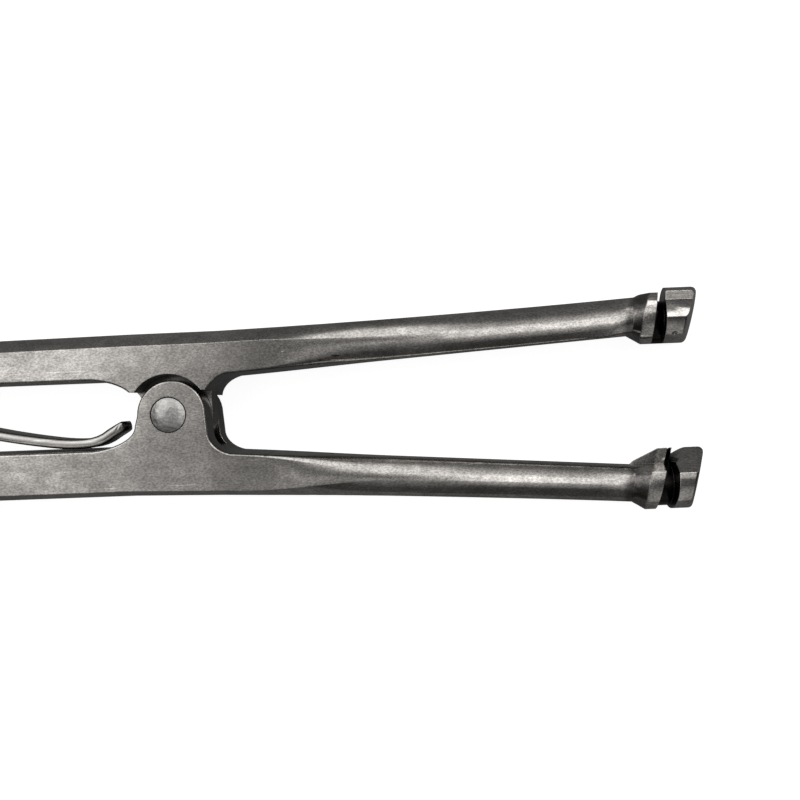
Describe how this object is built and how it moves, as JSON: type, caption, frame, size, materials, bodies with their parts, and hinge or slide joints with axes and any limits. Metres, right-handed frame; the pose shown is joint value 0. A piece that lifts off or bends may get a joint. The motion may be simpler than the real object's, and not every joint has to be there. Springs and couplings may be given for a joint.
{
  "type": "band forming pliers",
  "caption": "Long spreading pliers with two slim jaws that end in grooved round heads, a riveted joint and a leaf spring between bowed handles.",
  "frame": {"origin": "on the pivot axis, in the plane that the tool lies on", "axes": "+X along the tool to the heads, +Y towards the upper arm, +Z along the pivot to the domed rivet head"},
  "size_m": [0.238, 0.0492, 0.0126],
  "materials": {
    "satin_steel": "satin ground stainless steel with fine scratches and small pits",
    "rivet_steel": "satin stainless steel",
    "spring_steel": "polished spring steel"
  },
  "bodies": {
    "lower": {"lower_arm": "satin_steel", "pivot_rivet": "rivet_steel"},
    "upper": {"upper_arm": "satin_steel", "leaf_spring": "spring_steel", "spring_screw": "rivet_steel"}
  },
  "joints": [
    {"name": "pivot", "type": "hinge", "parent": "lower", "child": "upper", "pos_m": [0, 0, 0.006], "axis": [0, 0, 1], "range_deg": [-10.5, 10], "stiffness_Nm_per_rad": 2, "deforming": ["leaf_spring"]}
  ]
}
